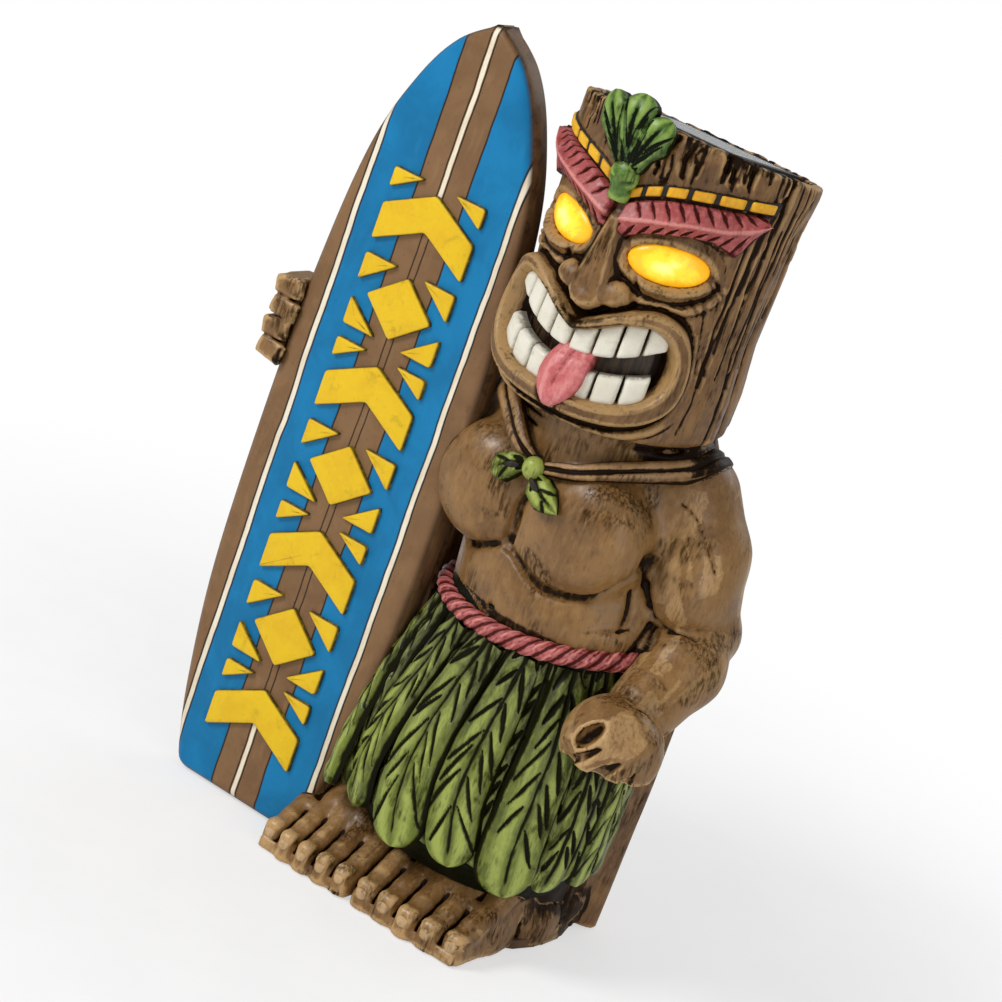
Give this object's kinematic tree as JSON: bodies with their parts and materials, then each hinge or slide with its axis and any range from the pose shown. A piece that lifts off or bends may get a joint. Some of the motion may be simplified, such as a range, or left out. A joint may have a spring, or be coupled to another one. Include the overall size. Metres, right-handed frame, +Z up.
{
  "type": "tiki garden statue",
  "caption": "Cast tiki figure in a leaf skirt and cape holding an upright surfboard, with lit eyes, a solar panel in the head's top and a battery door in the back.",
  "frame": {"origin": "middle of the bounding box at the floor", "axes": "+Z up, the figure's face and the surfboard's deck look along -Y, +X to the viewer's right"},
  "size_m": [0.2442, 0.1254, 0.3566],
  "materials": {
    "painted_resin_brown": "hand painted cast resin, wood brown with a dark wash",
    "painted_resin_board": "hand painted cast resin, blue deck with brown and cream stripes and yellow relief",
    "painted_resin_leaf": "hand painted cast resin, green with a dark wash",
    "base_plate": "plain moulded plastic",
    "eye_lens": "translucent amber plastic, lit from behind",
    "led": "clear epoxy lens",
    "holder": "white moulded reflector",
    "black_plastic": "fine moulded texture",
    "brown_plastic": "fine moulded texture",
    "rubber": "soft foam rubber",
    "solar_cell": "dark blue silicon with silver fingers",
    "window": "clear cast resin",
    "steel": "zinc plated",
    "cell": "shrink sleeve, plain",
    "circuit": "green solder mask",
    "lead": "sleeved lead",
    "switch_white": "moulded"
  },
  "bodies": {
    "statue": {"figure_casting": "painted_resin_brown", "head_casting": "painted_resin_brown", "surfboard_casting": "painted_resin_board", "leaf_tuft": "painted_resin_leaf", "base_plate": "base_plate", "eye_lens_left": "eye_lens", "eye_lens_right": "eye_lens", "led_left": "led", "led_right": "led", "led_holder_left": "holder", "led_holder_right": "holder", "solar_housing": "black_plastic", "solar_gasket": "rubber", "solar_cell": "solar_cell", "solar_window": "window", "battery_box": "brown_plastic", "door_gasket": "rubber", "door_hinge_pin": "steel", "box_screw_1": "steel", "box_screw_2": "steel", "box_screw_3": "steel", "box_screw_4": "steel", "battery_cell": "cell", "contact_spring": "steel", "contact_plate": "steel", "circuit_board": "circuit", "switch_body": "black_plastic", "solar_lead": "lead", "led_lead_left": "lead", "led_lead_right": "lead"},
    "door": {"battery_door": "brown_plastic"},
    "door_screw": {"door_screw": "steel"},
    "slider": {"switch_slider": "switch_white"}
  },
  "joints": [
    {"name": "door_hinge", "type": "hinge", "parent": "statue", "child": "door", "pos_m": [0.0349, 0.0603, 0.07105], "axis": [-1, 0, 0], "range_deg": [0, 110]},
    {"name": "door_screw_turn", "type": "hinge", "parent": "door", "child": "door_screw", "pos_m": [0.0425, 0.0589, 0.12865], "axis": [0, 1, 0], "continuous": true},
    {"name": "switch_slide", "type": "slide", "parent": "statue", "child": "slider", "axis": [1, 0, 0], "range_m": [0, 0.003]}
  ]
}
